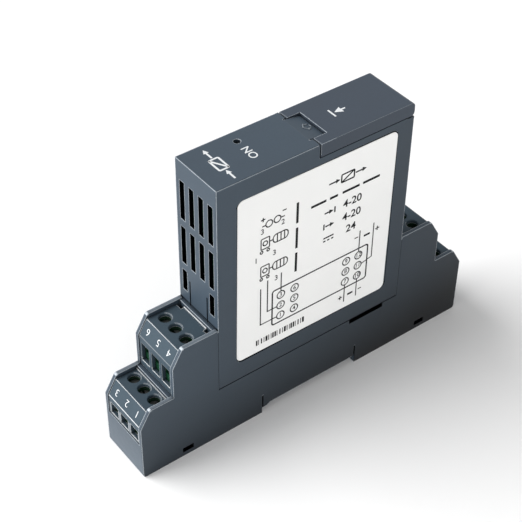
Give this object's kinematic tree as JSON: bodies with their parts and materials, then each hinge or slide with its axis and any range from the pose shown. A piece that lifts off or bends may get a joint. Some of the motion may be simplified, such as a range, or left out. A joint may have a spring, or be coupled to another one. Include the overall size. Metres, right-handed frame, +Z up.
{
  "type": "signal isolator",
  "caption": "Slim rail-mounted signal isolator with a vented tower, two-tier screw terminals at both ends, a flip lid over its trimmers, a side label and a sprung rail latch.",
  "frame": {"origin": "middle of the resting face, under the middle of the module", "axes": "+X along the rail towards the labelled side, +Y along the module towards the latch, +Z up from the rail"},
  "size_m": [0.018, 0.118, 0.0898],
  "materials": {
    "housing_grey": "fine moulded grain",
    "lid_grey": "fine moulded grain",
    "cover_grey": "fine moulded grain",
    "label_white": "printed film",
    "terminal_green": "satin",
    "screw_steel": "zinc plated",
    "clamp_steel": "zinc plated",
    "contact_brass": "tinned",
    "board_green": "solder resist",
    "moulded_black": "satin",
    "pin_tin": "tinned",
    "ferrite_black": "ground",
    "coil_copper": "lacquered wire",
    "light_lens": "clear tinted",
    "trimmer_blue": "satin",
    "rotor_brass": "turned",
    "latch_black": "satin",
    "spring_steel": "drawn wire"
  },
  "bodies": {
    "housing": {"base_housing": "housing_grey", "tower_housing": "housing_grey", "side_label": "label_white", "base_board": "board_green", "main_board": "board_green", "near_riser_board": "board_green", "far_riser_board": "board_green", "board_socket": "moulded_black", "near_riser_pins": "pin_tin", "far_riser_pins": "pin_tin", "transformer_core": "ferrite_black", "transformer_coil": "coil_copper", "filter_capacitor": "moulded_black", "isolation_chips": "moulded_black", "status_light": "light_lens", "zero_trimmer": "trimmer_blue", "span_trimmer": "trimmer_blue", "latch_spring": "spring_steel", "terminal_cover_1_3": "cover_grey", "terminal_block_1_3": "terminal_green", "terminal_contacts_1_3": "contact_brass", "terminal_cover_4_6": "cover_grey", "terminal_block_4_6": "terminal_green", "terminal_contacts_4_6": "contact_brass", "terminal_cover_7_9": "cover_grey", "terminal_block_7_9": "terminal_green", "terminal_contacts_7_9": "contact_brass", "terminal_cover_10_12": "cover_grey", "terminal_block_10_12": "terminal_green", "terminal_contacts_10_12": "contact_brass"},
    "lid": {"flip_lid": "lid_grey"},
    "latch": {"rail_latch": "latch_black"},
    "zero_rotor": {"zero_rotor": "rotor_brass"},
    "span_rotor": {"span_rotor": "rotor_brass"},
    "screw_1": {"clamp_screw_1": "screw_steel"},
    "clamp_1": {"wire_clamp_1": "clamp_steel"},
    "screw_2": {"clamp_screw_2": "screw_steel"},
    "clamp_2": {"wire_clamp_2": "clamp_steel"},
    "screw_3": {"clamp_screw_3": "screw_steel"},
    "clamp_3": {"wire_clamp_3": "clamp_steel"},
    "screw_4": {"clamp_screw_4": "screw_steel"},
    "clamp_4": {"wire_clamp_4": "clamp_steel"},
    "screw_5": {"clamp_screw_5": "screw_steel"},
    "clamp_5": {"wire_clamp_5": "clamp_steel"},
    "screw_6": {"clamp_screw_6": "screw_steel"},
    "clamp_6": {"wire_clamp_6": "clamp_steel"},
    "screw_7": {"clamp_screw_7": "screw_steel"},
    "clamp_7": {"wire_clamp_7": "clamp_steel"},
    "screw_8": {"clamp_screw_8": "screw_steel"},
    "clamp_8": {"wire_clamp_8": "clamp_steel"},
    "screw_9": {"clamp_screw_9": "screw_steel"},
    "clamp_9": {"wire_clamp_9": "clamp_steel"},
    "screw_10": {"clamp_screw_10": "screw_steel"},
    "clamp_10": {"wire_clamp_10": "clamp_steel"},
    "screw_11": {"clamp_screw_11": "screw_steel"},
    "clamp_11": {"wire_clamp_11": "clamp_steel"},
    "screw_12": {"clamp_screw_12": "screw_steel"},
    "clamp_12": {"wire_clamp_12": "clamp_steel"}
  },
  "joints": [
    {"name": "lid_hinge", "type": "hinge", "parent": "housing", "child": "lid", "pos_m": [0, 0.0312, 0.0871], "axis": [-1, 0, 0], "range_deg": [0, 90]},
    {"name": "latch_slide", "type": "slide", "parent": "housing", "child": "latch", "axis": [0, 1, 0], "range_m": [0, 0.0035], "stiffness_N_per_m": 300, "springref_m": -0.005, "deforming": ["latch_spring"]},
    {"name": "zero_turn", "type": "hinge", "parent": "housing", "child": "zero_rotor", "pos_m": [-0.0001, 0.01194, 0.083], "axis": [0, 0, 1], "range_deg": [-130, 130]},
    {"name": "span_turn", "type": "hinge", "parent": "housing", "child": "span_rotor", "pos_m": [-0.0001, 0.02194, 0.083], "axis": [0, 0, 1], "range_deg": [-130, 130]},
    {"name": "screw_1_turn", "type": "hinge", "parent": "housing", "child": "screw_1", "pos_m": [0.005, -0.0517, 0.02], "axis": [0, 0, -1], "range_deg": [0, 1602]},
    {"name": "clamp_1_rise", "type": "slide", "parent": "housing", "child": "clamp_1", "axis": [0, 0, 1], "range_m": [0, 0.002]},
    {"name": "screw_2_turn", "type": "hinge", "parent": "housing", "child": "screw_2", "pos_m": [0, -0.0517, 0.02], "axis": [0, 0, -1], "range_deg": [0, 1602]},
    {"name": "clamp_2_rise", "type": "slide", "parent": "housing", "child": "clamp_2", "axis": [0, 0, 1], "range_m": [0, 0.002]},
    {"name": "screw_3_turn", "type": "hinge", "parent": "housing", "child": "screw_3", "pos_m": [-0.005, -0.0517, 0.02], "axis": [0, 0, -1], "range_deg": [0, 1602]},
    {"name": "clamp_3_rise", "type": "slide", "parent": "housing", "child": "clamp_3", "axis": [0, 0, 1], "range_m": [0, 0.002]},
    {"name": "screw_4_turn", "type": "hinge", "parent": "housing", "child": "screw_4", "pos_m": [0.005, -0.0406, 0.037], "axis": [0, 0, -1], "range_deg": [0, 1602]},
    {"name": "clamp_4_rise", "type": "slide", "parent": "housing", "child": "clamp_4", "axis": [0, 0, 1], "range_m": [0, 0.002]},
    {"name": "screw_5_turn", "type": "hinge", "parent": "housing", "child": "screw_5", "pos_m": [0, -0.0406, 0.037], "axis": [0, 0, -1], "range_deg": [0, 1602]},
    {"name": "clamp_5_rise", "type": "slide", "parent": "housing", "child": "clamp_5", "axis": [0, 0, 1], "range_m": [0, 0.002]},
    {"name": "screw_6_turn", "type": "hinge", "parent": "housing", "child": "screw_6", "pos_m": [-0.005, -0.0406, 0.037], "axis": [0, 0, -1], "range_deg": [0, 1602]},
    {"name": "clamp_6_rise", "type": "slide", "parent": "housing", "child": "clamp_6", "axis": [0, 0, 1], "range_m": [0, 0.002]},
    {"name": "screw_7_turn", "type": "hinge", "parent": "housing", "child": "screw_7", "pos_m": [0.005, 0.0406, 0.037], "axis": [0, 0, -1], "range_deg": [0, 1602]},
    {"name": "clamp_7_rise", "type": "slide", "parent": "housing", "child": "clamp_7", "axis": [0, 0, 1], "range_m": [0, 0.002]},
    {"name": "screw_8_turn", "type": "hinge", "parent": "housing", "child": "screw_8", "pos_m": [0, 0.0406, 0.037], "axis": [0, 0, -1], "range_deg": [0, 1602]},
    {"name": "clamp_8_rise", "type": "slide", "parent": "housing", "child": "clamp_8", "axis": [0, 0, 1], "range_m": [0, 0.002]},
    {"name": "screw_9_turn", "type": "hinge", "parent": "housing", "child": "screw_9", "pos_m": [-0.005, 0.0406, 0.037], "axis": [0, 0, -1], "range_deg": [0, 1602]},
    {"name": "clamp_9_rise", "type": "slide", "parent": "housing", "child": "clamp_9", "axis": [0, 0, 1], "range_m": [0, 0.002]},
    {"name": "screw_10_turn", "type": "hinge", "parent": "housing", "child": "screw_10", "pos_m": [0.005, 0.0517, 0.02], "axis": [0, 0, -1], "range_deg": [0, 1602]},
    {"name": "clamp_10_rise", "type": "slide", "parent": "housing", "child": "clamp_10", "axis": [0, 0, 1], "range_m": [0, 0.002]},
    {"name": "screw_11_turn", "type": "hinge", "parent": "housing", "child": "screw_11", "pos_m": [0, 0.0517, 0.02], "axis": [0, 0, -1], "range_deg": [0, 1602]},
    {"name": "clamp_11_rise", "type": "slide", "parent": "housing", "child": "clamp_11", "axis": [0, 0, 1], "range_m": [0, 0.002]},
    {"name": "screw_12_turn", "type": "hinge", "parent": "housing", "child": "screw_12", "pos_m": [-0.005, 0.0517, 0.02], "axis": [0, 0, -1], "range_deg": [0, 1602]},
    {"name": "clamp_12_rise", "type": "slide", "parent": "housing", "child": "clamp_12", "axis": [0, 0, 1], "range_m": [0, 0.002]}
  ],
  "couplings": [
    {"joint": "screw_1_turn", "follows": "clamp_1_rise", "rad_per_m": 13963},
    {"joint": "screw_2_turn", "follows": "clamp_2_rise", "rad_per_m": 13963},
    {"joint": "screw_3_turn", "follows": "clamp_3_rise", "rad_per_m": 13963},
    {"joint": "screw_4_turn", "follows": "clamp_4_rise", "rad_per_m": 13963},
    {"joint": "screw_5_turn", "follows": "clamp_5_rise", "rad_per_m": 13963},
    {"joint": "screw_6_turn", "follows": "clamp_6_rise", "rad_per_m": 13963},
    {"joint": "screw_7_turn", "follows": "clamp_7_rise", "rad_per_m": 13963},
    {"joint": "screw_8_turn", "follows": "clamp_8_rise", "rad_per_m": 13963},
    {"joint": "screw_9_turn", "follows": "clamp_9_rise", "rad_per_m": 13963},
    {"joint": "screw_10_turn", "follows": "clamp_10_rise", "rad_per_m": 13963},
    {"joint": "screw_11_turn", "follows": "clamp_11_rise", "rad_per_m": 13963},
    {"joint": "screw_12_turn", "follows": "clamp_12_rise", "rad_per_m": 13963}
  ]
}
